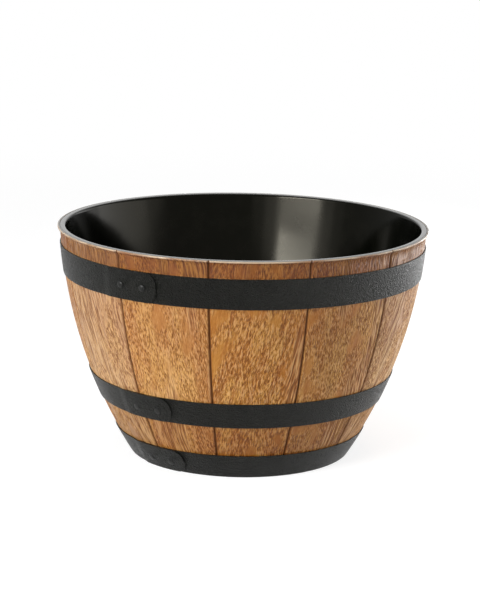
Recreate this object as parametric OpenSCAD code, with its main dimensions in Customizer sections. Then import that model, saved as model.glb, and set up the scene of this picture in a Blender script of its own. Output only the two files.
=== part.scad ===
// Half-barrel planter: oak staves held by three black steel hoops, a doweled
// wooden head in the croze, and a moulded black liner that lifts out.
// Millimetres, +Z up. The origin is on the floor at the centre of the base,
// and the side with the hoop laps faces -Y.

/* [Staves] */
// Number of staves round the shell
stave_count = 12; // [10:1:14]
// Upright length of the staves
stave_h = 242; // [232:1:262]
// Outer diameter of the shell at the floor
base_d = 232; // [222:1:250]
// Outer diameter of the shell at the staves' upper ends, without the bead
top_d = 385; // [370:1:400]
// Radius that the faces of every stave are bent to
belly_r = 500; // [450:5:650]
// Level thickness of a stave at its upper end
stave_top_t = 3.2; // [3:0.1:5]
// Level thickness of a stave at the floor
stave_base_t = 9.5; // [9:0.1:12]
// Turn of the first seam from +X, in degrees
first_seam = -129.8; // [-180:0.1:180]
// Gap between neighbouring staves at the floor
joint_gap = 0.1; // [0.05:0.05:0.3]
// Width of the bevelled groove along each seam
groove_w = 1.8; // [1:0.1:3]
// Depth of the bevelled groove
groove_depth = 1.1; // [0.6:0.1:1.6]
// How far the bead round the rim stands out from the staves
bead_out = 2.5; // [1.8:0.1:3.2]
// Upright height of the bead's face
bead_h = 3; // [2:0.5:5]
// Radius under the bead
bead_r = 3; // [2:0.1:4]
// Width of the edge that the staves keep outside the rebate for the liner's lip
rim_edge_w = 2.2; // [1.6:0.1:2.6]

/* [Head] */
// Height of the head's underside above the floor
head_z = 18; // [14:0.5:24]
// Thickness of the head boards
head_t = 9; // [8:0.5:14]
// Thickness left at the bevelled edge of the head
head_edge_t = 4; // [3:0.5:6]
// Width of the bevel round the head
head_bevel_w = 8; // [5:0.5:14]
// Depth of the croze, the groove in the staves that holds the head
croze_depth = 2; // [1.5:0.1:3]
// Clearance of the head's edge in the croze
croze_fit = 0.3; // [0.1:0.05:0.6]
// Width of the middle board
middle_board_w = 80; // [70:1:100]
// Gap between neighbouring boards
board_gap = 0.2; // [0.1:0.05:0.5]
// Radius of the drain hole in each board
head_drain_r = 8; // [5:0.5:12]
// Radius of the dowels between the boards
dowel_r = 2.5; // [2:0.1:3]
// Length of a dowel
dowel_l = 34; // [24:1:44]
// Distance of the dowels from the middle of the boards
dowel_y = 55; // [35:1:70]
// Radial clearance of a dowel in its hole
dowel_fit = 0.05; // [0.02:0.01:0.1]

/* [Hoops] */
// Thickness of the hoop steel
hoop_t = 1.3; // [1:0.1:2]
// Clearance between the hoops and the staves
hoop_fit = 0.05; // [0.02:0.01:0.2]
// Upright width of the top hoop
top_hoop_w = 31; // [27:0.5:36]
// Distance from the staves' upper ends down to the top hoop
top_hoop_drop = 18; // [12:0.5:24]
// Upright width of the middle hoop
middle_hoop_w = 27.5; // [25:0.5:34]
// Height of the middle hoop's lower edge
middle_hoop_z = 62.5; // [45:0.5:100]
// Upright width of the bottom hoop
bottom_hoop_w = 27; // [25:0.5:32]
// Height of the bottom hoop's lower edge, so that the staves carry the weight
bottom_hoop_z = 0.6; // [0.2:0.1:3]

/* [Hoop laps] */
// Turn of the free end of every lap from +X, in degrees
lap_end = -116; // [-180:1:180]
// Corner radius of the free end
lap_corner_r = 12; // [4:0.5:12]
// Distance from the free end to the first rivet
rivet_edge = 15; // [10:0.5:20]
// Distance between the two rivets of a lap
rivet_pitch = 26; // [18:0.5:32]
// Length of the ramp where the hoop steps up over itself
joggle_l = 12; // [8:0.5:20]
// Radius of a rivet's shank
rivet_r = 2; // [1.5:0.1:2.5]
// Radius of a rivet's head
rivet_head_r = 3.6; // [3:0.1:5]
// Height of the domed rivet heads on the top hoop
dome_h = 1.5; // [1:0.1:2]
// Height of the low rivet heads on the other two hoops
low_head_h = 0.6; // [0.4:0.1:1.2]
// Radial clearance of a rivet in its hole
rivet_fit = 0.05; // [0.02:0.01:0.1]

/* [Liner] */
// Wall thickness of the liner
liner_wall = 1.8; // [1.5:0.1:2.5]
// Thickness of the liner's floor
liner_floor_t = 2.5; // [2:0.1:4]
// Clearance between the liner's wall and the staves at the rim
liner_fit = 0.4; // [0.3:0.05:0.8]
// Clearance between the liner's foot and the staves
liner_foot_gap = 5; // [2:0.5:12]
// Radius that the liner's wall is bowed to
liner_belly_r = 900; // [700:10:1500]
// Height of the liner's floor above the head
liner_lift = 1; // [0.5:0.1:4]
// Height of the bevel that joins the liner's floor to its wall
liner_corner_h = 9; // [6:0.5:16]
// Thickness of the lip that lies in the staves' rebate, flush with their ends
lip_h = 1.4; // [1:0.1:3]
// Gap left under the lip
lip_gap = 0.1; // [0.05:0.05:0.3]
// Clearance round the lip in the rebate
lip_fit = 0.3; // [0.3:0.05:0.6]
// Radius of the drain holes in the liner
liner_drain_r = 5; // [3:0.5:7]
// Number of drain holes round the middle one
liner_drains = 4; // [2:2:8]

/* [Hidden] */
function stave_name(i) = str("stave_", i < 9 ? "0" : "", i + 1);
$fn = 180;
// Reach of a cutting tool past the face that it opens
over = 1;
// How far a lap's ramp runs into the layer under it
ramp_sink = 0.25;
oak = "#b07a42";
pale_oak = "#c39a63";
hoop_black = "#2b2c2a";
rivet_black = "#3a3b39";
liner_black = "#141410";

// Centre, in radius and height, of an arc of radius r from foot up to head
function arc_centre(foot, head, r) =
    let (
        chord = head - foot,
        reach = sqrt(pow(r, 2) - pow(norm(chord) / 2, 2))
    )
    (foot + head) / 2 + reach * [-chord[1], chord[0]] / norm(chord);

// Radius at height z of the arc of radius r round centre c
function arc_r(c, r, z) = c[0] + sqrt(pow(r, 2) - pow(z - c[1], 2));

stave_foot = [base_d / 2, 0];
stave_head = [top_d / 2, stave_h];
outer_c = arc_centre(stave_foot, stave_head, belly_r);
inner_c = arc_centre(stave_foot - [stave_base_t, 0], stave_head - [stave_top_t, 0], belly_r);
stave_pitch = 360 / stave_count;
gap_turn = asin(joint_gap / base_d) * 2;

croze_h = head_edge_t + croze_fit;
croze_r = arc_r(inner_c, belly_r, head_z + croze_h) + croze_depth;
head_r = croze_r - croze_fit;
dowel_z = head_z + head_t / 2;
side_board_x = (middle_board_w / 2 + head_r - head_bevel_w) / 2;

lap_l = rivet_pitch + 2 * rivet_edge;
bead_x = top_d / 2 + bead_out;
rebate_r = bead_x - rim_edge_w;
lip_r = rebate_r - lip_fit;
lip_z = stave_h - lip_h;
liner_z = head_z + head_t + liner_lift;
liner_foot = [arc_r(inner_c, belly_r, liner_z) - liner_foot_gap, liner_z];
liner_c = arc_centre(liner_foot, stave_head - [stave_top_t + liner_fit, 0], liner_belly_r);

// The half plane of a section from the axis outward, between two heights
module level_band(low, high) {
    translate([0, low])
        square([bead_x + over, high - low]);
}

// Disc of radius r round an arc centre, as a section drawing
module arc_disc(c, r) {
    translate(c)
        circle(r = r, $fn = 720);
}

// Section of a stave: two belly arcs and the bead, with the croze and the rebate
// for the liner's lip cut inside
module stave_section() {
    difference() {
        intersection() {
            union() {
                arc_disc(outer_c, belly_r);
                translate([0, stave_h - bead_h])
                    square([bead_x, bead_h]);
                translate([bead_x - bead_r, stave_h - bead_h])
                    circle(r = bead_r);
            }
            level_band(0, stave_h);
        }
        arc_disc(inner_c, belly_r);
        translate([0, head_z])
            square([croze_r, croze_h]);
        translate([0, lip_z - lip_gap])
            square([rebate_r, lip_gap + lip_h + over]);
    }
}

// Ring with a V-shaped edge that bevels two staves along the seam at +X
module seam_bevel() {
    v_top = groove_depth * 0.3;
    spread = (groove_w / 2) * (1 + v_top / groove_depth);
    translate([outer_c[0], 0, outer_c[1]])
        rotate([90, 0, 0])
            rotate_extrude($fn = 720)
                polygon([
                    [belly_r - groove_depth, 0],
                    [belly_r + v_top, -spread],
                    [belly_r + bead_out + over, -spread],
                    [belly_r + bead_out + over, spread],
                    [belly_r + v_top, spread]
                ]);
}

// Stave number i, counted anticlockwise from the first seam
module stave(i) {
    color(oak)
        rotate([0, 0, first_seam + i * stave_pitch])
            difference() {
                rotate([0, 0, gap_turn / 2])
                    rotate_extrude(angle = stave_pitch - gap_turn)
                        stave_section();
                seam_bevel();
                rotate([0, 0, stave_pitch])
                    seam_bevel();
            }
}

// Section of hoop steel from depth t0 to t1 outside the staves
module hoop_section(t0, t1, low, high) {
    intersection() {
        difference() {
            arc_disc(outer_c, belly_r + t1);
            arc_disc(outer_c, belly_r + t0);
        }
        level_band(low, high);
    }
}

// Radius of the staves at the middle of a hoop
function hoop_r(low, high) = arc_r(outer_c, belly_r, (low + high) / 2);

// Turn from the lap's free end to a point at distance s along the hoop
function lap_turn(s, r) = -s / r * 180 / PI;

// Places something made along +Z at turn a and height z, square to the staves
module on_stave(a, z) {
    rotate([0, 0, a])
        translate([outer_c[0], 0, outer_c[1]])
            rotate([0, asin((outer_c[1] - z) / belly_r), 0])
                translate([belly_r, 0, 0])
                    rotate([0, 90, 0])
                        children();
}

// Places something at both rivets of a lap
module at_rivets(low, high) {
    for (s = [rivet_edge, rivet_edge + rivet_pitch])
        on_stave(lap_end + lap_turn(s, hoop_r(low, high)), (low + high) / 2)
            children();
}

// Outline of the lap seen from outside: square at one end, rounded at the free end
module lap_outline(length, low, high) {
    r = min(lap_corner_r, (high - low) / 2 - over / 2);
    translate([-length, low])
        square([length - r, high - low]);
    translate([-length, low + r])
        square([length, high - low - 2 * r]);
    for (y = [low + r, high - r])
        translate([-r, y])
            circle(r = r);
}

// Second layer of a hoop, from its rounded free end back to the ramp
module lap_layer(low, high) {
    r = hoop_r(low, high);
    length = lap_l + joggle_l;
    ramp_top = r + hoop_fit + 2 * hoop_t;
    ramp_foot = ramp_top - hoop_t - ramp_sink;
    start = lap_turn(lap_l, r);
    stop = lap_turn(length, r);
    from = ramp_top * [cos(start), sin(start)];
    to = ramp_foot * [cos(stop), sin(stop)];
    rotate([0, 0, lap_end])
        difference() {
            intersection() {
                rotate([0, 0, stop])
                    rotate_extrude(angle = 2 * abs(stop))
                        hoop_section(hoop_fit + hoop_t / 2, hoop_fit + 2 * hoop_t,
                                     max(low - over, 0), high + over);
                rotate([90, 0, 90])
                    linear_extrude(bead_x + over)
                        lap_outline(2 * length, low, high);
            }
            translate([from[0], from[1], low - over])
                rotate([0, 0, atan2(to[1] - from[1], to[0] - from[0])])
                    cube([2 * length, length, high - low + 2 * over]);
        }
}

// Hoop between two heights, lapped over itself and drilled for its rivets
module hoop(low, high) {
    color(hoop_black)
        difference() {
            union() {
                rotate_extrude()
                    hoop_section(hoop_fit, hoop_fit + hoop_t, low, high);
                lap_layer(low, high);
            }
            at_rivets(low, high)
                translate([0, 0, -over])
                    cylinder(r = rivet_r + rivet_fit, h = 2 * (hoop_t + over) + rivet_head_r);
        }
}

// The two rivets of a lap, their tails flush inside the hoop
module rivets(low, high, head_h) {
    seat = hoop_fit + 2 * hoop_t;
    ball_r = (pow(rivet_head_r, 2) + pow(head_h, 2)) / (2 * head_h);
    color(rivet_black)
        at_rivets(low, high) {
            translate([0, 0, 2 * hoop_fit])
                cylinder(r = rivet_r, h = seat - hoop_fit);
            translate([0, 0, seat])
                rotate_extrude()
                    intersection() {
                        translate([0, head_h - ball_r])
                            circle(r = ball_r);
                        square([rivet_head_r, head_h]);
                    }
        }
}

// The head as one disc, bevelled on top down to the tongue that enters the croze
module head_disc() {
    rotate_extrude()
        polygon([
            [0, head_z],
            [head_r, head_z],
            [head_r, head_z + head_edge_t],
            [head_r - croze_depth, head_z + head_edge_t],
            [head_r - head_bevel_w, head_z + head_t],
            [0, head_z + head_t]
        ]);
}

// Dowels across both board joints, or their holes where fit is above zero
module dowels(fit) {
    for (side = [-1, 1])
        for (end = [-1, 1])
            translate([side * middle_board_w / 2, end * dowel_y, dowel_z])
                rotate([0, 90, 0])
                    cylinder(r = dowel_r + fit, h = dowel_l + 2 * fit, center = true, $fn = 48);
}

// The part of the head between two distances from the middle, drilled at drain_x
module head_board(left, right, drain_x) {
    color(pale_oak)
        difference() {
            intersection() {
                head_disc();
                translate([left, -head_r - over, head_z - over])
                    cube([right - left, 2 * (head_r + over), head_t + 2 * over]);
            }
            dowels(dowel_fit);
            translate([drain_x, 0, head_z - over])
                cylinder(r = head_drain_r, h = head_t + 2 * over, $fn = 96);
        }
}

// Filled half section of the liner down to floor height z, t into its wall, with
// the corner cut off at 45 degrees, c high
module bowl(t, z, c) {
    corner_x = arc_r(liner_c, liner_belly_r - t, z + c);
    intersection() {
        arc_disc(liner_c, liner_belly_r - t);
        polygon([
            [0, z],
            [corner_x - c, z],
            [corner_x + over, z + c + over],
            [bead_x + over, z + c + over],
            [bead_x + over, stave_h + over],
            [0, stave_h + over]
        ]);
    }
}

// Half section of the lip, flat on both sides with a half-round nose
module lip_section() {
    nose_r = lip_h / 2;
    translate([0, lip_z])
        square([lip_r - nose_r, lip_h]);
    translate([lip_r - nose_r, lip_z + nose_r])
        circle(r = nose_r);
}

// Drain hole through the liner's floor, on the axis
module liner_drain() {
    translate([0, 0, liner_z - over])
        cylinder(r = liner_drain_r, h = liner_floor_t + 2 * over, $fn = 64);
}

// Moulded liner: a thin tapered tub that hangs by its lip and drains through its floor
module liner() {
    color(liner_black)
        difference() {
            rotate_extrude()
                difference() {
                    union() {
                        intersection() {
                            bowl(0, liner_z, liner_corner_h);
                            level_band(liner_z, stave_h);
                        }
                        lip_section();
                    }
                    bowl(liner_wall, liner_z + liner_floor_t, liner_corner_h - liner_floor_t / 2);
                }
            liner_drain();
            for (i = [0 : liner_drains - 1])
                rotate([0, 0, i * 360 / liner_drains])
                    translate([side_board_x, 0, 0])
                        liner_drain();
        }
}

top_hoop_high = stave_h - top_hoop_drop;
top_hoop_low = top_hoop_high - top_hoop_w;
middle_hoop_high = middle_hoop_z + middle_hoop_w;
bottom_hoop_high = bottom_hoop_z + bottom_hoop_w;
board_edge = (middle_board_w + board_gap) / 2;

for (i = [0 : stave_count - 1])
    stave(i);
hoop(top_hoop_low, top_hoop_high);  // top_hoop
hoop(middle_hoop_z, middle_hoop_high);  // middle_hoop
hoop(bottom_hoop_z, bottom_hoop_high);  // bottom_hoop
rivets(top_hoop_low, top_hoop_high, dome_h);  // top_hoop_rivets
rivets(middle_hoop_z, middle_hoop_high, low_head_h);  // middle_hoop_rivets
rivets(bottom_hoop_z, bottom_hoop_high, low_head_h);  // bottom_hoop_rivets
head_board(-head_r - over, -board_edge, -side_board_x);  // head_board_left
head_board(board_gap - board_edge, board_edge - board_gap, 0);  // head_board_middle
head_board(board_edge, head_r + over, side_board_x);  // head_board_right
color(pale_oak) dowels(0);  // head_dowels
liner();
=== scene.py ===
# Half-barrel planter: twelve oak staves held by three black steel hoops, a doweled
# oak head near the floor, and a glossy black liner that lies in the rim.
# Metres, +Z up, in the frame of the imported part; the hoop laps face -Y.
import math
import random

import bpy
from mathutils import Matrix, Vector, noise


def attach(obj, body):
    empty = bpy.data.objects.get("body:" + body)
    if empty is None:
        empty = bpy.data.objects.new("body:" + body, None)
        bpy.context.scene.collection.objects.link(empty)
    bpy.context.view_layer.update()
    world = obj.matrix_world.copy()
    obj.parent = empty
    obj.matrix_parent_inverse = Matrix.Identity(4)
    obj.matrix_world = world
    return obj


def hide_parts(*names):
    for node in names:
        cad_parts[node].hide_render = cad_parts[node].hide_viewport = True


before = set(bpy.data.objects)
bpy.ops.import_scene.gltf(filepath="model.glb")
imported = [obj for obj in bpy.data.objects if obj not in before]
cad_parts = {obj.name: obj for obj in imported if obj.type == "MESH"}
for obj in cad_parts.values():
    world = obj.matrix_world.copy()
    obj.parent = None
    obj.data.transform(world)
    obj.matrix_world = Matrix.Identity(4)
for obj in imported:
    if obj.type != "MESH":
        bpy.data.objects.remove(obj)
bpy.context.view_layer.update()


# ---------------------------------------------------------------- the studio
# A pale floor in a white room. Two bands of window light, in a glow that fades to its sides, are at
# the left of the camera. A long low band is at the right with two faint ones above it, and a soft
# light is overhead.
class Reading:
    """A number that changes over a surface; arithmetic on it adds Math nodes."""

    def __init__(self, finish, socket):
        self.finish = finish
        self.socket = socket

    def maths(self, operation, *others):
        values = dict(enumerate((self, *others)))
        node = self.finish.node("ShaderNodeMath", {"operation": operation}, values)
        return Reading(self.finish, node.outputs[0])

    def __add__(self, other):
        return self.maths("ADD", other)

    def __sub__(self, other):
        return self.maths("SUBTRACT", other)

    def __rsub__(self, other):
        return (self * -1).maths("ADD", other)

    def __mul__(self, other):
        return self.maths("MULTIPLY", other)

    __radd__ = __add__
    __rmul__ = __mul__

    def rising(self, low, high):
        """0 below low, 1 above high, and a smooth rise between them."""
        settings = {"interpolation_type": "SMOOTHSTEP"}
        sockets = {"Value": self, "From Min": low, "From Max": high}
        return Reading(self.finish, self.finish.node("ShaderNodeMapRange", settings, sockets).outputs[0])


class Finish:
    """The nodes of one finish on the planter, or of the studio's paint and light."""

    def __init__(self, owner, shader="Principled BSDF"):
        owner.use_nodes = True
        self.material = owner
        self.tree = owner.node_tree
        self.shader = self.tree.nodes[shader]

    def feed(self, node, sockets):
        """Sets each named socket of a node to a value, or links it to a reading or a colour."""
        for name, value in sockets.items():
            if isinstance(value, Reading):
                value = value.socket
            if isinstance(value, bpy.types.NodeSocket):
                self.tree.links.new(value, node.inputs[name])
            else:
                node.inputs[name].default_value = value

    def node(self, kind, settings, sockets):
        node = self.tree.nodes.new(kind)
        for name, value in settings.items():
            setattr(node, name, value)
        self.feed(node, sockets)
        return node

    def show(self, sockets):
        self.feed(self.shader, sockets)

    def place(self):
        """The point of the surface, in the planter's own metres."""
        return self.node("ShaderNodeTexCoord", {}, {}).outputs["Object"]

    def coordinate(self, point, axis):
        return Reading(self, self.node("ShaderNodeSeparateXYZ", {}, {0: point}).outputs[axis])

    def cloud(self, point, scale, detail=2.0, roughness=0.5):
        """Soft noise whose cells are 1 / scale metres along each axis."""
        scaled = self.node("ShaderNodeVectorMath", {"operation": "MULTIPLY"}, {0: point, 1: scale})
        sockets = {"Vector": scaled.outputs[0], "Scale": 1.0, "Detail": detail, "Roughness": roughness}
        return Reading(self, self.node("ShaderNodeTexNoise", {}, sockets).outputs["Fac"])

    def mix(self, share, first, second, blend="MIX"):
        """Goes from the first colour to the second; 6, 7 and 2 are the node's colour sockets."""
        settings = {"data_type": "RGBA", "blend_type": blend}
        return self.node("ShaderNodeMix", settings, {0: share, 6: first, 7: second}).outputs[2]

    def tint(self, share, colour, by):
        """The colour, multiplied by another as far as the share goes."""
        return self.mix(share, colour, by, "MULTIPLY")

    def bump(self, height, distance, strength):
        sockets = {"Height": height, "Distance": distance, "Strength": strength}
        return self.node("ShaderNodeBump", {}, sockets).outputs["Normal"]

    def seen_by_eye_or_gloss(self):
        """1 for rays from the camera, from a reflection or through glass, and 0 for light."""
        rays = self.node("ShaderNodeLightPath", {}, {}).outputs
        seen = Reading(self, rays["Is Camera Ray"]).maths("MAXIMUM", rays["Is Glossy Ray"])
        return seen.maths("MAXIMUM", rays["Is Transmission Ray"])


AIM_POINT = Vector((0, 0, 0.115))


def soft_light(name, place, size, power):
    """A rectangular lamp turned towards the planter's middle."""
    lamp = bpy.data.lights.new(name, "AREA")
    lamp.shape = "RECTANGLE"
    lamp.size = size[0]
    lamp.size_y = size[1]
    lamp.energy = power
    light = bpy.data.objects.new(name, lamp)
    bpy.context.scene.collection.objects.link(light)
    light.location = place
    light.rotation_euler = (AIM_POINT - Vector(place)).to_track_quat("-Z", "Y").to_euler()


soft_light("left_window", (-1.13, -1.28, 0.83), (0.9, 0.15), 22)
soft_light("left_strip", (-1.13, -1.28, 0.595), (0.9, 0.07), 5.8)
soft_light("left_glow_narrow", (-1.14, -1.29, 0.72), (1.1, 0.32), 4.2)
soft_light("left_glow_wide", (-1.15, -1.3, 0.72), (1.7, 0.32), 4)
soft_light("left_glow_faint", (-1.16, -1.31, 0.72), (2.4, 0.32), 2.6)
soft_light("right_low", (0.91, 0.42, 0.13), (2.0, 0.22), 13)
soft_light("right_middle", (1.55, 0.15, 0.445), (1.3, 0.23), 2.4)
soft_light("right_faint", (1.5, 0.35, 0.46), (3.2, 0.36), 9)
soft_light("overhead", (0.0, 0.2, 2.2), (1.6, 1.6), 10)

ROOM_LIGHT = (0.22, 0.22, 0.225, 1)
WHITE = (1, 1, 1, 1)
BLACK = (0, 0, 0, 1)
bpy.context.scene.world = bpy.data.worlds.new("white_room")
room = Finish(bpy.context.scene.world, "Background")
room.show({"Color": room.mix(room.seen_by_eye_or_gloss(), ROOM_LIGHT, WHITE)})

# The floor's paint is lifted to white for the eye, and fully so away from the planter, so
# that only the soft shadow round the foot is left on it.
FLOOR_SIZE = 16
FLOOR_SQUARES = 8
FLOOR_GREY = (0.37, 0.37, 0.37, 1)
LIFT_NEAR = (0.77, 0.77, 0.77, 1)
LIFT_RISES = (0.4, 2.2)
bpy.ops.object.select_all(action="DESELECT")
bpy.ops.mesh.primitive_grid_add(
    x_subdivisions=FLOOR_SQUARES, y_subdivisions=FLOOR_SQUARES, size=FLOOR_SIZE)
floor = bpy.context.object
floor.name = "floor"
paint = Finish(bpy.data.materials.new("floor_paint"))
distance = paint.node("ShaderNodeVectorMath", {"operation": "LENGTH"}, {0: paint.place()})
away = Reading(paint, distance.outputs["Value"]).rising(*LIFT_RISES)
lift = paint.mix(away, LIFT_NEAR, WHITE)
paint.show({
    "Base Color": paint.mix(away, FLOOR_GREY, BLACK),
    "Roughness": 1.0,
    "Specular IOR Level": 0.0,
    "Emission Color": paint.mix(paint.seen_by_eye_or_gloss(), BLACK, lift),
    "Emission Strength": 1.0,
})
floor.data.materials.append(paint.material)

# The photograph's view: from 2.16 m, 14 degrees above the middle of the planter, with a
# slight roll, and framed a little low. Lens and shift come from its size in picture points.
FRAME_POINTS = 609
FOCAL_POINTS = 2026
SIDE_SHIFT_POINTS = -1.2
LOW_SHIFT_POINTS = 36.7
CAMERA_DISTANCE = 2.164
CAMERA_RISE = math.radians(14.01)
CAMERA_ROLL = math.radians(1.07)
lens = bpy.data.cameras.new("camera")
lens.lens = FOCAL_POINTS / FRAME_POINTS * lens.sensor_width
lens.shift_x = SIDE_SHIFT_POINTS / FRAME_POINTS
lens.shift_y = LOW_SHIFT_POINTS / FRAME_POINTS
camera = bpy.data.objects.new("camera", lens)
bpy.context.scene.collection.objects.link(camera)
bpy.context.scene.camera = camera
towards_camera = Vector((0, -math.cos(CAMERA_RISE), math.sin(CAMERA_RISE)))
camera.location = AIM_POINT + CAMERA_DISTANCE * towards_camera
level_view = (-towards_camera).to_track_quat("-Z", "Y").to_matrix()
camera.rotation_euler = (level_view @ Matrix.Rotation(CAMERA_ROLL, 3, "Z")).to_euler()
bpy.context.scene.view_settings.view_transform = "Standard"


# ---------------------------------------------------------------- the staves
# Twelve boards of open-grained oak, bent to one belly and bevelled along their joints, with a bead
# and a rebate at the rim, and a groove, the croze, for the head. The outside is wire-brushed, which
# cuts the soft grain back, and oiled. It is darker at the rim, and a pale highlight is painted along the
# top edge.
MM = 0.001
STAVES = 12
STAVE_HEIGHT = 242 * MM
FOOT_RADIUS = 116 * MM
RIM_RADIUS = 192.5 * MM
BELLY = 500 * MM
FOOT_THICKNESS = 9.5 * MM
RIM_THICKNESS = 3.2 * MM
FIRST_SEAM = math.radians(-129.8)
JOINT_GAP = 0.1 * MM
SEAM_HALF_WIDTH = 2.0 * MM
SEAM_DEPTH = 1.7 * MM
BEAD_RADIUS = 195 * MM
BEAD_HEIGHT = 1.9 * MM
BEAD_COVE = 6 * MM
RIM_EASE = 0.9 * MM
REBATE_RADIUS = 192.8 * MM
REBATE_DEPTH = 1.5 * MM
CROZE_LOW = 18 * MM
CROZE_HIGH = 22.3 * MM
CROZE_DEPTH = 2 * MM
FOOT_EASE = 0.6 * MM
OUTSIDE_ROWS = 150
INSIDE_ROWS = 14
BELOW_CROZE_ROWS = 2
STAVE_COLUMNS = 280
STAVE_CREASE = math.radians(50)
MERGE_WITHIN = 0.002 * MM


def arc_centre(foot, top, radius):
    """Centre, in radius and height, of the arc of a given radius from foot up to top."""
    chord = Vector(top) - Vector(foot)
    reach = math.sqrt(radius ** 2 - (chord.length / 2) ** 2)
    return (Vector(top) + Vector(foot)) / 2 + reach * Vector((-chord.y, chord.x)) / chord.length


def arc_radius(centre, radius, height):
    """How far from the planter's axis such an arc is at a height."""
    return centre.x + math.sqrt(radius ** 2 - (height - centre.y) ** 2)


def arc_points(centre, radius, low, high, rows):
    """Points up such an arc, in radius and height."""
    levels = [low + (high - low) * row / rows for row in range(rows + 1)]
    return [(arc_radius(centre, radius, level), level) for level in levels]


def turned_section(name, corners, steps, angle):
    """An outline drawn by extruding one point from corner to corner, and spun anticlockwise.

    For part of a turn the outline is filled, so that both ends are closed."""
    bpy.ops.object.select_all(action="DESELECT")
    bpy.ops.mesh.primitive_plane_add(size=MM)
    made = bpy.context.object
    made.name = name
    bpy.ops.object.mode_set(mode="EDIT")
    bpy.ops.mesh.select_mode(type="VERT")
    bpy.ops.mesh.select_all(action="SELECT")
    bpy.ops.mesh.merge(type="CENTER")
    bpy.ops.transform.translate(value=(corners[0][0], 0, corners[0][1]))
    for here, there in zip(corners, corners[1:]):
        step = (there[0] - here[0], 0, there[1] - here[1])
        bpy.ops.mesh.extrude_vertices_move(TRANSFORM_OT_translate={"value": step})
    bpy.ops.mesh.select_all(action="SELECT")
    if angle < 2 * math.pi:
        bpy.ops.mesh.edge_face_add()
        bpy.ops.mesh.select_all(action="SELECT")
    bpy.ops.mesh.spin(steps=steps, angle=-angle, center=(0, 0, 0), axis=(0, 0, 1))
    bpy.ops.mesh.select_all(action="SELECT")
    bpy.ops.mesh.remove_doubles(threshold=MERGE_WITHIN)
    bpy.ops.mesh.normals_make_consistent(inside=False)
    bpy.ops.object.mode_set(mode="OBJECT")
    return made


outer_centre = arc_centre((FOOT_RADIUS, 0), (RIM_RADIUS, STAVE_HEIGHT), BELLY)
inner_centre = arc_centre(
    (FOOT_RADIUS - FOOT_THICKNESS, 0), (RIM_RADIUS - RIM_THICKNESS, STAVE_HEIGHT), BELLY)
croze_radius = arc_radius(inner_centre, BELLY, CROZE_HIGH) + CROZE_DEPTH
cove_foot = STAVE_HEIGHT - BEAD_HEIGHT - BEAD_COVE

# Up the outside, through the cove to the bead, over the eased edge into the rebate, and down the
# inside by way of the croze.
stave_outline = arc_points(outer_centre, BELLY, FOOT_EASE, cove_foot, OUTSIDE_ROWS)
for degrees in (12, 24, 36, 48, 60, 72, 84, 90):
    turn = math.radians(degrees)
    level = cove_foot + BEAD_COVE * math.sin(turn)
    wall = arc_radius(outer_centre, BELLY, level)
    stave_outline.append((wall + (BEAD_RADIUS - wall) * (1 - math.cos(turn)), level))
for degrees in (0, 22.5, 45, 67.5, 90):
    turn = math.radians(degrees)
    stave_outline.append((
        BEAD_RADIUS - RIM_EASE * (1 - math.cos(turn)),
        STAVE_HEIGHT - RIM_EASE * (1 - math.sin(turn))))
stave_outline += [
    (REBATE_RADIUS, STAVE_HEIGHT),
    (REBATE_RADIUS, STAVE_HEIGHT - REBATE_DEPTH)]
stave_outline += reversed(arc_points(
    inner_centre, BELLY, CROZE_HIGH, STAVE_HEIGHT - REBATE_DEPTH, INSIDE_ROWS))
stave_outline += [(croze_radius, CROZE_HIGH), (croze_radius, CROZE_LOW)]
stave_outline += reversed(arc_points(inner_centre, BELLY, 0, CROZE_LOW, BELOW_CROZE_ROWS))
stave_outline.append((FOOT_RADIUS - FOOT_EASE, 0))

stave_turn = 2 * math.pi / STAVES
gap_turn = JOINT_GAP / FOOT_RADIUS
blank = turned_section("stave_blank", stave_outline, STAVE_COLUMNS, stave_turn - gap_turn)


def ease(low, high, value):
    """0 below low, 1 above high, and a smooth rise between them."""
    share = min(max((value - low) / (high - low), 0), 1)
    return share * share * (3 - 2 * share)


# One number for each stave, anticlockwise from the first seam: how far its fibres lean, how far it
# has faded pale, where the strong fading of the side staves 4 and 12 is painted sheen, to which side its
# long ridges lie, how much of it they cover, and how deep it is brushed.
LEANS = (0.06, -0.17, 0.02, -0.24, 0.14, -0.12, 0.05, 0.16, -0.14, 0.0, -0.08, 0.08)
FADING_AND_SHEEN = (0.08, 0.0, 0.05, 0.35, 0.15, 0.0, 0.2, 0.05, 0.1, 0.0, 0.2, 0.35)
RIDGES = (0.5, 0.1, 1.0, -0.3, 0.6, 0.2, -0.8, 0.5, 0.0, 0.7, -0.4, 0.2)
STRIPES = (0.16, -0.16, 0.12, 0.1, 0.0, 0.1, 0.0, -0.1, 0.15, 0.0, 0.1, 0.12)
BRUSHING = (1.5, 1.4, 1.8, 2.6, 1.6, 1.9, 1.5, 2.2, 1.6, 1.8, 1.5, 1.5)
RIDGE_REACH = 60
MID_HEIGHT = 120
HEART_SPREAD = 18
RING_HEIGHT = 34
RING_FLARE = 380
UNBRUSHED = 0.3


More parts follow.
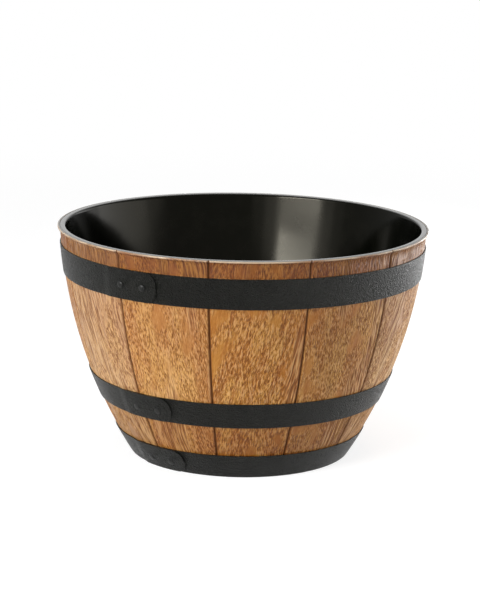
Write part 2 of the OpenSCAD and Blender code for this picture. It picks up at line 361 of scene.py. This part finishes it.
class Board:
    """One stave's figure, with its places in millimetres across and along the board."""

    def __init__(self, number):
        draw = random.Random(number)
        self.seed = 31.7 * number
        self.heart = draw.uniform(-HEART_SPREAD, HEART_SPREAD)
        self.arch = draw.choice((-1, 1))
        self.lean = LEANS[number - 1]
        self.fading_and_sheen = FADING_AND_SHEEN[number - 1]
        self.ridged = RIDGES[number - 1]
        self.striped = STRIPES[number - 1]
        self.brushed = BRUSHING[number - 1]

    def cells(self, across, along, width, length, layer):
        """Soft noise in cells of that width and length, another one in each layer."""
        return noise.noise((across / width, along / length, self.seed + layer))

    def fibre(self, across, along):
        """Which fibre passes through a point of the board, by its place at mid height."""
        wander = 8 * self.cells(across, along, 70, 110, 0)
        wave = 1.6 * self.cells(across, along, 18, 30, 7)
        return across + wander + wave + self.lean * (along - MID_HEIGHT)

    def zone(self, across, along):
        """How rough the brush left the board there, and how far it followed long ridges."""
        smooth = ease(0.12, 0.5, self.cells(across, along, 15, 24, 29))
        ridges = self.cells(across, along, 22, 110, 19)
        ridges += self.ridged * across / RIDGE_REACH + self.striped
        return 1 - smooth, ease(0.08, 0.4, ridges)

    def cut(self, fibre, across, along, rough, ridged):
        """How far the brush has cut: 0 on a crest, 1 in an open pore, and UNBRUSHED on calm wood."""
        rings = self.arch * along / RING_HEIGHT + (fibre - self.heart) ** 2 / RING_FLARE
        rings += 0.9 * self.cells(across, along, 30, 50, 3)
        soft = ease(0.15, 0.8, 0.5 + 0.5 * math.cos(2 * math.pi * rings))
        dashes = self.cells(fibre, along, 0.85, 3.3, 11)
        dashes += 0.25 * self.cells(fibre, along, 2.0, 9, 13)
        ridges = self.cells(fibre, along, 1.15, 30, 17)
        ridges += 0.5 * self.cells(fibre, along, 0.9, 7, 5)
        wave = dashes + (1.3 * ridges - dashes) * ridged
        level = UNBRUSHED + 0.16 * soft + self.brushed * wave * max(0.2 + 0.8 * rough, ridged)
        return min(max(level, 0), 1)


# What lies deeper than the skin, and the rebate, stay as they are. The joints' bevels wear wider
# and narrower along the stave, and the brushed grain fades out at its foot and rim.
BRUSH_DEPTH = 0.5 * MM
SKIN = 0.5 * MM
REBATE_ZONE = 2 * MM
REBATE_WALL = REBATE_RADIUS + MM
WEAR_LENGTH = 9 * MM
WEAR_SHARE = 0.25
FOOT_FADE = 3 * MM
RIM_FADE = 1.2 * MM


def carve_stave(mesh, board, start):
    """Cuts the seam bevels and the brushed grain, and notes both for the finish to read."""
    mesh.attributes.new("grain", "FLOAT_VECTOR", "POINT")
    mesh.attributes.new("recess", "FLOAT", "POINT")
    mesh.attributes.new("zone", "FLOAT_VECTOR", "POINT")
    grain = mesh.attributes["grain"].data
    recess = mesh.attributes["recess"].data
    zone = mesh.attributes["zone"].data
    half_turn = (stave_turn - gap_turn) / 2
    for vertex in mesh.vertices:
        radius = math.hypot(vertex.co.x, vertex.co.y)
        turn = math.atan2(vertex.co.y, vertex.co.x) - start - half_turn
        across = ((turn + math.pi) % (2 * math.pi) - math.pi) * radius
        along = vertex.co.z
        from_belly = math.hypot(radius - outer_centre.x, along - outer_centre.y) - BELLY
        fibre = board.fibre(across / MM, along / MM)
        grain[vertex.index].vector = (fibre * MM, along, board.seed * MM + from_belly)
        rough, ridged = board.zone(across / MM, along / MM)
        zone[vertex.index].vector = (rough, ridged, board.fading_and_sheen)
        recess[vertex.index].value = UNBRUSHED
        in_rebate = along >= STAVE_HEIGHT - REBATE_ZONE and radius <= REBATE_WALL
        if from_belly < -SKIN or in_rebate:
            continue
        from_seam = half_turn * radius - abs(across)
        wear = 1 + WEAR_SHARE * noise.noise((0, along / WEAR_LENGTH, board.seed))
        bevel = SEAM_DEPTH * max(1 - from_seam / (SEAM_HALF_WIDTH * wear), 0)
        fade = ease(0, FOOT_FADE, along) * ease(0, RIM_FADE, STAVE_HEIGHT - along)
        cut = board.cut(fibre, across / MM, along / MM, rough, ridged)
        cut = UNBRUSHED + (cut - UNBRUSHED) * fade
        outward = Vector((
            (radius - outer_centre.x) * vertex.co.x / radius,
            (radius - outer_centre.x) * vertex.co.y / radius,
            along - outer_centre.y)).normalized()
        vertex.co -= max(bevel, cut * BRUSH_DEPTH * fade) * outward
        vertex.co.z = min(vertex.co.z, STAVE_HEIGHT)
        recess[vertex.index].value = max(2 * bevel / SEAM_DEPTH, cut)


CREST_HIGHLIGHT_OAK = (0.58, 0.33, 0.14, 1)
PALE_OAK = (0.48, 0.225, 0.042, 1)
WARM_OAK = (0.375, 0.133, 0.011, 1)
RED_OAK = (0.28, 0.082, 0.004, 1)
FADED_AND_SHEEN_OAK = (0.47, 0.36, 0.25, 1)
CUT_OAK = (0.14, 0.035, 0.002, 1)
JOINT_OAK = (0.11, 0.038, 0.006, 1)
RIM_TINT = (0.54, 0.41, 0.22, 1)
BELLY_BOUNCE_TINT = (1.2, 1.25, 1.25, 1)
FOOT_TINT = (0.97, 0.9, 0.72, 1)
EDGE_HIGHLIGHT_OAK = (0.52, 0.40, 0.28, 1)
TOP_END_REFLECTION_OAK = (0.20, 0.18, 0.15, 1)
RIM_BAND = (221 * MM, 226 * MM)
BELLY_BAND = (88 * MM, 190 * MM)
FOOT_BAND = (65 * MM, 85 * MM)
EDGE_BAND = (STAVE_HEIGHT - BEAD_HEIGHT, STAVE_HEIGHT - 1.2 * MM)
END_BAND = (STAVE_HEIGHT - 0.25 * MM, STAVE_HEIGHT - 0.05 * MM)
FIBRE_RELIEF = 0.75 * MM

oak = Finish(bpy.data.materials.new("brushed_oak"))
grain = oak.node("ShaderNodeAttribute", {"attribute_name": "grain"}, {}).outputs["Vector"]
recess = Reading(oak, oak.node("ShaderNodeAttribute", {"attribute_name": "recess"}, {}).outputs["Fac"])
zone = oak.node("ShaderNodeAttribute", {"attribute_name": "zone"}, {}).outputs["Vector"]
rough = oak.coordinate(zone, "X")
ridged = oak.coordinate(zone, "Y")
streaks = oak.cloud(grain, (160, 14, 60), detail=3.0)
patches = oak.cloud(grain, (40, 13, 30), detail=3.0)
dashes = oak.cloud(grain, (1150, 240, 700), detail=2.0, roughness=0.6)
lines = oak.cloud(grain, (950, 50, 600), detail=2.0, roughness=0.65)
fibres = dashes * (1 - ridged) + lines * ridged
share = (rough * 0.75 + 0.25).maths("MAXIMUM", ridged)
tone = oak.mix(patches.rising(0.4, 0.6), WARM_OAK, PALE_OAK)
tone = oak.mix(streaks.rising(0.46, 0.7) * 0.75, tone, RED_OAK)
tone = oak.mix((1 - rough) * 0.4, tone, RED_OAK)
# Fading, and a painted sheen on the side staves 4 and 12, mix the wood towards a pale grey tan.
tone = oak.mix(oak.coordinate(zone, "Z") + ridged * 0.12, tone, FADED_AND_SHEEN_OAK)
tone = oak.mix(fibres.rising(0.5, 0.62) * share * 0.85, tone, CUT_OAK)
# Painted highlight: the crests of the brushed grain, and wood the brush barely cut, are mixed towards a
# pale tone.
tone = oak.mix((fibres.rising(0.36, 0.48) * -0.5 + 0.5) * share, tone, CREST_HIGHLIGHT_OAK)
tone = oak.mix(recess.rising(0.0, 0.3) * -0.44 + 0.44, tone, CREST_HIGHLIGHT_OAK)
tone = oak.mix(recess.rising(0.35, 0.95) * 0.65, tone, CUT_OAK)
spot = oak.place()
height = oak.coordinate(spot, "Z")
foot = 1 - height.rising(*FOOT_BAND)
belly = 1 - foot - height.rising(*BELLY_BAND)
tone = oak.tint(height.rising(*RIM_BAND), tone, RIM_TINT)
tone = oak.tint(foot, tone, FOOT_TINT)
# Painted bounce light: between the hoops the wood is made paler down towards the middle hoop, where the
# belly turns to face the floor.
tone = oak.tint(belly, tone, BELLY_BOUNCE_TINT)
# Painted highlight: a patchy pale line along the rounded top edge of the bead.
edge = height.rising(*EDGE_BAND)
patchy_edge_highlight = oak.cloud(spot, (28, 28, 28)).rising(0.38, 0.62) * 0.65 + 0.2
tone = oak.mix(edge * patchy_edge_highlight, tone, EDGE_HIGHLIGHT_OAK)
# Painted reflection: the flat top end of the staves is made grey, for the pale room reflected in it.
tone = oak.mix(height.rising(*END_BAND), tone, TOP_END_REFLECTION_OAK)
tone = oak.mix(recess.rising(1.05, 1.6), tone, JOINT_OAK)
oak.show({
    "Base Color": tone,
    "Roughness": 0.32 + recess * 0.2 - edge * 0.12,
    "Normal": oak.bump(fibres * share * (1 - edge), FIBRE_RELIEF, 1.0),
    "IOR": 1.4,
})


def select_only(piece):
    """Leaves one piece selected and active, for the operators that follow."""
    bpy.ops.object.select_all(action="DESELECT")
    piece.select_set(True)
    bpy.context.view_layer.objects.active = piece


for number in range(1, STAVES + 1):
    start = FIRST_SEAM + (number - 1) * stave_turn + gap_turn / 2
    name = f"stave_{number:02d}"
    mesh = blank.data.copy()
    mesh.transform(Matrix.Rotation(start, 4, "Z"))
    carve_stave(mesh, Board(number), start)
    mesh.materials.append(oak.material)
    stave = bpy.data.objects.new(name + "_oak", mesh)
    bpy.context.scene.collection.objects.link(stave)
    select_only(stave)
    bpy.ops.object.shade_smooth_by_angle(angle=STAVE_CREASE)
    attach(stave, "shell")
    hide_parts(name)
bpy.data.objects.remove(blank)


# ---------------------------------------------------------------- the hoops
# Each hoop is a strip of flat steel, rounded at its free end and wrapped round the staves. It steps
# up over its own other end, and is riveted there. The paint is satin black over hammered steel.
HOOP_THICKNESS = 1.3 * MM
HOOP_FIT = 0.05 * MM
HOOP_EDGE = 0.45 * MM
HOOPS = {
    "top_hoop": (193 * MM, 224 * MM),
    "middle_hoop": (62.5 * MM, 90 * MM),
    "bottom_hoop": (0.6 * MM, 27.6 * MM),
}
LAP_END = math.radians(-116)
LAP_CORNER = 12 * MM
LAP_TIP = 0.5 * MM
RIVET_EDGE = 15 * MM
RIVET_PITCH = 26 * MM
LAP_LENGTH = 2 * RIVET_EDGE + RIVET_PITCH
JOGGLE = 12 * MM
HIDDEN_END_GAP = 2 * MM
HIDDEN_END = LAP_LENGTH - HIDDEN_END_GAP
HOOP_COLUMN = 1.0 * MM
HOOP_ROWS = 28
HOOP_CREASE = math.radians(40)
DENT_DEPTH = 0.3 * MM
DENT_SIZE = 2.6 * MM
HAMMER_RELIEF = 2.6 * MM
HOOP_BLACK = (0.003, 0.0033, 0.0026, 1)
WORN_BLACK = (0.006, 0.0063, 0.005, 1)
HOOP_SHEEN = (1, 0.99, 0.93, 1)

steel = Finish(bpy.data.materials.new("hammered_black_steel"))
spot = steel.place()
hammer = steel.cloud(spot, (430, 430, 430), detail=2.0, roughness=0.6)
grit = steel.cloud(spot, (1100, 1100, 1100), detail=2.0)
wear = steel.cloud(spot, (40, 40, 40), detail=3.0)
steel.show({
    "Base Color": steel.mix(wear.rising(0.4, 0.7), HOOP_BLACK, WORN_BLACK),
    "Roughness": 0.25 + wear * 0.1,
    "Normal": steel.bump((hammer * 2 - 1).maths("ABSOLUTE") + grit * 0.2, HAMMER_RELIEF, 1.0),
    "IOR": 1.25,
    "Specular Tint": HOOP_SHEEN,
})


def hoop_strip(name, low, high):
    """The flat strip, its long side along X from the free end, its outer face up."""
    around = arc_radius(outer_centre, BELLY, (low + high) / 2)
    length = 2 * math.pi * around + HIDDEN_END
    half = (high - low) / 2
    corner = min(LAP_CORNER, half - LAP_TIP)
    columns = round(length / HOOP_COLUMN)
    bpy.ops.object.select_all(action="DESELECT")
    bpy.ops.mesh.primitive_grid_add(x_subdivisions=columns, y_subdivisions=HOOP_ROWS, size=1)
    strip = bpy.context.object
    strip.name = name + "_strip"
    for vertex in strip.data.vertices:
        along = (vertex.co.x + 0.5) * length
        into_corner = max(corner - along, 0)
        reach = half - corner + math.sqrt(corner ** 2 - into_corner ** 2)
        vertex.co = (along, vertex.co.y * 2 * max(reach, LAP_TIP), 0)
    solid = strip.modifiers.new("sheet", "SOLIDIFY")
    solid.thickness = HOOP_THICKNESS
    solid.offset = 1
    edges = strip.modifiers.new("edges", "BEVEL")
    edges.width = HOOP_EDGE
    edges.segments = 2
    edges.limit_method = "ANGLE"
    bpy.ops.object.modifier_apply(modifier=solid.name)
    bpy.ops.object.modifier_apply(modifier=edges.name)
    return strip


# The strip goes round clockwise from its free end, which lies on top of the hidden one.
for name, (low, high) in HOOPS.items():
    hoop = hoop_strip(name, low, high)
    level = (low + high) / 2
    around = arc_radius(outer_centre, BELLY, level)
    for vertex in hoop.data.vertices:
        along, height, depth = vertex.co
        lifted = 1 - ease(LAP_LENGTH, LAP_LENGTH + JOGGLE, along)
        dent = DENT_DEPTH * abs(noise.noise(vertex.co / DENT_SIZE)) * ease(0, HOOP_THICKNESS, depth)
        out = BELLY + HOOP_FIT + depth + lifted * HOOP_THICKNESS - dent
        turn = LAP_END - along / around
        radius = arc_radius(outer_centre, out, level + height)
        vertex.co = (radius * math.cos(turn), radius * math.sin(turn), level + height)
    bpy.ops.object.mode_set(mode="EDIT")
    bpy.ops.mesh.select_all(action="SELECT")
    bpy.ops.mesh.normals_make_consistent(inside=False)
    bpy.ops.object.mode_set(mode="OBJECT")
    hoop.data.materials.append(steel.material)
    bpy.ops.object.shade_smooth_by_angle(angle=HOOP_CREASE)
    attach(hoop, "shell")
    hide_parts(name)


# ---------------------------------------------------------------- the rivets
# Two steel rivets fasten each lap, with domed heads on the top hoop and low ones on the others.
# They are painted with the hoops, and the paint is rubbed a little on the heads.
RIVET_HEAD_RADIUS = 3.6 * MM
RIVET_SHANK_RADIUS = 2 * MM
RIVET_SEAT = HOOP_FIT + 2 * HOOP_THICKNESS
RIVET_END_GAP = 0.1 * MM
RIVET_LENGTH = RIVET_SEAT - RIVET_END_GAP
RIVET_SIDES = 32
RIVET_CREASE = math.radians(50)
DOME_RISE = {"top_hoop": 1.5 * MM, "middle_hoop": 0.6 * MM, "bottom_hoop": 0.6 * MM}
RIVET_RELIEF = 0.2 * MM
RIVET_BLACK = (0.004, 0.0043, 0.0036, 1)
RUBBED_BLACK = (0.012, 0.012, 0.0105, 1)

rubbed = Finish(bpy.data.materials.new("rubbed_black_rivet"))
rub = rubbed.cloud(rubbed.place(), (500, 500, 500), detail=2.0)
rubbed.show({
    "Base Color": rubbed.mix(rub.rising(0.4, 0.7), RIVET_BLACK, RUBBED_BLACK),
    "Roughness": 0.3 + rub * 0.15,
    "Normal": rubbed.bump(rub, RIVET_RELIEF, 0.4),
    "IOR": 1.3,
})


def rivet(rise):
    """A rivet along +Z: a domed head on a shank that reaches back through the lap."""
    bpy.ops.object.select_all(action="DESELECT")
    bpy.ops.mesh.primitive_uv_sphere_add(
        segments=RIVET_SIDES, ring_count=RIVET_SIDES // 2, radius=RIVET_HEAD_RADIUS)
    made = bpy.context.object
    bpy.ops.object.mode_set(mode="EDIT")
    bpy.ops.mesh.select_all(action="SELECT")
    bpy.ops.mesh.bisect(plane_co=(0, 0, 0), plane_no=(0, 0, -1), clear_outer=True, use_fill=True)
    bpy.ops.mesh.select_mode(type="FACE")
    bpy.ops.mesh.inset(thickness=RIVET_HEAD_RADIUS - RIVET_SHANK_RADIUS)
    bpy.ops.mesh.select_all(action="SELECT")
    bpy.ops.transform.resize(value=(1, 1, rise / RIVET_HEAD_RADIUS))
    bpy.ops.mesh.select_all(action="DESELECT")
    bpy.ops.object.mode_set(mode="OBJECT")
    for face in made.data.polygons:
        face.select = face.normal.z < -0.99 and face.center.length < RIVET_SHANK_RADIUS / 2
    bpy.ops.object.mode_set(mode="EDIT")
    bpy.ops.mesh.extrude_region_move(TRANSFORM_OT_translate={"value": (0, 0, -RIVET_LENGTH)})
    bpy.ops.object.mode_set(mode="OBJECT")
    return made


def square_to_staves(turn, height, out):
    """The place of a thing made along +Z that stands square on the belly, out from it."""
    lean = math.asin((outer_centre.y - height) / BELLY)
    return (
        Matrix.Rotation(turn, 4, "Z")
        @ Matrix.Translation((outer_centre.x, 0, outer_centre.y))
        @ Matrix.Rotation(lean, 4, "Y")
        @ Matrix.Translation((BELLY + out, 0, 0))
        @ Matrix.Rotation(math.pi / 2, 4, "Y"))


for name, (low, high) in HOOPS.items():
    level = (low + high) / 2
    around = arc_radius(outer_centre, BELLY, level)
    pair = []
    for along in (RIVET_EDGE, RIVET_EDGE + RIVET_PITCH):
        one = rivet(DOME_RISE[name])
        one.data.transform(square_to_staves(LAP_END - along / around, level, RIVET_SEAT))
        pair.append(one)
    bpy.ops.object.select_all(action="DESELECT")
    for one in pair:
        one.select_set(True)
    bpy.ops.object.join()
    rivets = bpy.context.object
    rivets.name = name + "_rivet_pair"
    rivets.data.materials.append(rubbed.material)
    bpy.ops.object.shade_smooth_by_angle(angle=RIVET_CREASE)
    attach(rivets, "shell")
    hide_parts(name + "_rivets")


# ---------------------------------------------------------------- the head
# The head, the planter's wooden bottom, is three planed oak boards. Dowels hold them edge to edge,
# and the croze holds them all round. They have no oil on them, so they are paler than the staves.
HEAD_PALE = (0.62, 0.42, 0.23, 1)
HEAD_DARK = (0.4, 0.23, 0.1, 1)
BOARD_EDGE = 0.4 * MM
EDGE_SHARPER_THAN = math.radians(35)
BOARD_CREASE = math.radians(30)
BOARD_RELIEF = 0.15 * MM
LOOSE_WITHIN = 0.01 * MM
FLAT_WITHIN = math.radians(0.5)

planed = Finish(bpy.data.materials.new("planed_oak"))
where = planed.place()
board_grain = planed.cloud(where, (420, 14, 260), detail=3.0, roughness=0.6)
board_bands = planed.cloud(where, (70, 5, 40), detail=2.0)
board_pores = planed.cloud(where, (1500, 130, 900), detail=1.0)
board_tone = planed.mix(board_bands.rising(0.35, 0.7), HEAD_PALE, HEAD_DARK)
board_tone = planed.mix(board_grain.rising(0.45, 0.75) * 0.5, board_tone, HEAD_DARK)
board_tone = planed.mix(board_pores.rising(0.6, 0.72) * 0.5, board_tone, CUT_OAK)
planed.show({
    "Base Color": board_tone,
    "Roughness": 0.6 + board_grain * 0.15,
    "Normal": planed.bump(board_grain + board_pores * 0.6, BOARD_RELIEF, 0.5),
    "IOR": 1.45,
})

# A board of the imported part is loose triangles, so a copy of it is merged, and its flat faces are
# made whole before its edges are eased.
for side in ("left", "middle", "right"):
    node_name = "head_board_" + side
    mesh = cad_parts[node_name].data.copy()
    mesh.materials.clear()
    mesh.materials.append(planed.material)
    board = bpy.data.objects.new("planed_board_" + side, mesh)
    bpy.context.scene.collection.objects.link(board)
    select_only(board)
    bpy.ops.object.mode_set(mode="EDIT")
    bpy.ops.mesh.select_all(action="SELECT")
    bpy.ops.mesh.remove_doubles(threshold=LOOSE_WITHIN)
    bpy.ops.mesh.dissolve_limited(angle_limit=FLAT_WITHIN)
    bpy.ops.object.mode_set(mode="OBJECT")
    edges = board.modifiers.new("edges", "BEVEL")
    edges.width = BOARD_EDGE
    edges.segments = 2
    edges.limit_method = "ANGLE"
    edges.angle_limit = EDGE_SHARPER_THAN
    bpy.ops.object.modifier_apply(modifier=edges.name)
    bpy.ops.object.shade_smooth_by_angle(angle=BOARD_CREASE)
    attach(board, "shell")
    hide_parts(node_name)
for material_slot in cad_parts["head_dowels"].material_slots:
    material_slot.material = planed.material


# ---------------------------------------------------------------- the liner
# One thin moulding in glossy black plastic that lifts out. Its lip lies in the staves' rebate,
# flush with the rim, and its wall tapers to a floor with five drain holes.
LINER_WALL = 1.8 * MM
LINER_BOW = 900 * MM
LINER_LOW = 28 * MM
LINER_FLOOR = 30.5 * MM
LINER_FOOT_GAP = 5 * MM
LINER_FIT = 0.4 * MM
LINER_CORNER = 9 * MM
CORNER_EASE = 4 * MM
LIP_RADIUS = 192.5 * MM
LIP_THICKNESS = 1.4 * MM
LIP_NOSE = 0.5 * MM
MOUTH_EASE = 2 * MM
EASE_STEPS = 4
WALL_ROWS = 18
LINER_STEPS = 216
WALL_TOP = STAVE_HEIGHT - 4 * MM
MOUTH_FOOT = STAVE_HEIGHT - 3.4 * MM
LINER_CREASE = math.radians(35)
DRAIN_RADIUS = 5 * MM
DRAIN_CIRCLE = 77.12 * MM
DRAIN_SIDES = 48
DRILL_LENGTH = 20 * MM
HAZE_RELIEF = 4 * MM
LIP_BAND = (STAVE_HEIGHT - 0.8 * MM, STAVE_HEIGHT - 0.1 * MM)
LINER_BLACK = (0.0012, 0.0014, 0.0008, 1)
FILM_BLACK = (0.003, 0.003, 0.002, 1)
LIP_REFLECTION_GREY = (0.10, 0.10, 0.095, 1)
GLOSS_SHEEN = (1, 0.94, 0.78, 1)

gloss = Finish(bpy.data.materials.new("glossy_black_moulding"))
where = gloss.place()
film = gloss.cloud(where, (60, 60, 60), detail=3.0)
haze = gloss.cloud(where, (9, 9, 9), detail=2.0)
lip = gloss.coordinate(where, "Z").rising(*LIP_BAND)
# Painted reflection: the top of the lip is made grey, for the pale room reflected in the black moulding.
gloss.show({
    "Base Color": gloss.mix(lip, gloss.mix(film.rising(0.4, 0.8), LINER_BLACK, FILM_BLACK), LIP_REFLECTION_GREY),
    "Roughness": 0.11 + haze.rising(0.35, 0.75) * 0.06,
    "Normal": gloss.bump(haze + film * 0.05, HAZE_RELIEF, 0.12),
    "Coat Weight": lip * 0.5,
    "Coat Roughness": 0.15,
    "IOR": 1.165,
    "Specular Tint": GLOSS_SHEEN,
})


def rounded(before, corner, after, radius):
    """Points round a corner of an outline, for a fillet of about that radius."""
    corner = Vector(corner)
    back = (Vector(before) - corner).normalized()
    ahead = (Vector(after) - corner).normalized()
    half = math.acos(max(min(back.dot(ahead), 1), -1)) / 2
    reach = radius / math.tan(half)
    hub = corner + (back + ahead).normalized() * radius / math.sin(half)
    first = corner + back * reach - hub
    last = corner + ahead * reach - hub
    swing = math.pi - 2 * half
    points = []
    for step in range(EASE_STEPS + 1):
        share = step / EASE_STEPS
        points.append(tuple(hub + (
            first * math.sin((1 - share) * swing) + last * math.sin(share * swing)) / math.sin(swing)))
    return points


liner_foot = (arc_radius(inner_centre, BELLY, LINER_LOW) - LINER_FOOT_GAP, LINER_LOW)
liner_top = (RIM_RADIUS - RIM_THICKNESS - LINER_FIT, STAVE_HEIGHT)
liner_centre = arc_centre(liner_foot, liner_top, LINER_BOW)
inner_corner = LINER_CORNER - (LINER_FLOOR - LINER_LOW) / 2
outer_wall = arc_points(
    liner_centre, LINER_BOW, LINER_LOW + LINER_CORNER, STAVE_HEIGHT - LIP_THICKNESS, WALL_ROWS)
inner_bow = LINER_BOW - LINER_WALL
inner_wall = arc_points(liner_centre, inner_bow, LINER_FLOOR + inner_corner, WALL_TOP, WALL_ROWS)
inner_wall += arc_points(liner_centre, inner_bow, MOUTH_FOOT, STAVE_HEIGHT, 1)
outer_floor_edge = (outer_wall[0][0] - LINER_CORNER, LINER_LOW)
inner_floor_edge = (inner_wall[0][0] - inner_corner, LINER_FLOOR)
lip_under = (LIP_RADIUS, STAVE_HEIGHT - LIP_THICKNESS)
lip_top = (LIP_RADIUS, STAVE_HEIGHT)

liner_outline = [(0, LINER_LOW)]
liner_outline += rounded((0, LINER_LOW), outer_floor_edge, outer_wall[0], CORNER_EASE)
liner_outline += rounded(outer_floor_edge, outer_wall[0], outer_wall[1], CORNER_EASE)
liner_outline += outer_wall[1:]
liner_outline += rounded(outer_wall[-1], lip_under, lip_top, LIP_NOSE)
liner_outline += rounded(lip_under, lip_top, inner_wall[-1], LIP_NOSE)
liner_outline += rounded(lip_top, inner_wall[-1], inner_wall[-2], MOUTH_EASE)
liner_outline += inner_wall[-2:0:-1]
liner_outline += rounded(inner_wall[1], inner_wall[0], inner_floor_edge, CORNER_EASE)
liner_outline += rounded(inner_wall[0], inner_floor_edge, (0, LINER_FLOOR), CORNER_EASE)
liner_outline.append((0, LINER_FLOOR))
liner = turned_section("liner_moulding", liner_outline, LINER_STEPS, 2 * math.pi)

# One hole in the middle of the floor, and four round it, drilled right through.
quarters = [quarter * math.pi / 2 for quarter in range(4)]
drain_places = [(0, 0)] + [
    (DRAIN_CIRCLE * math.cos(turn), DRAIN_CIRCLE * math.sin(turn)) for turn in quarters]
for x, y in drain_places:
    bpy.ops.object.select_all(action="DESELECT")
    bpy.ops.mesh.primitive_cylinder_add(
        vertices=DRAIN_SIDES, radius=DRAIN_RADIUS, depth=DRILL_LENGTH, location=(x, y, LINER_FLOOR))
    drill = bpy.context.object
    select_only(liner)
    hole = liner.modifiers.new("drain", "BOOLEAN")
    hole.operation = "DIFFERENCE"
    hole.solver = "EXACT"
    hole.object = drill
    bpy.ops.object.modifier_apply(modifier=hole.name)
    bpy.data.objects.remove(drill)
liner.data.materials.clear()
liner.data.materials.append(gloss.material)
bpy.ops.object.shade_smooth_by_angle(angle=LINER_CREASE)
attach(liner, "liner")
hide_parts("liner")
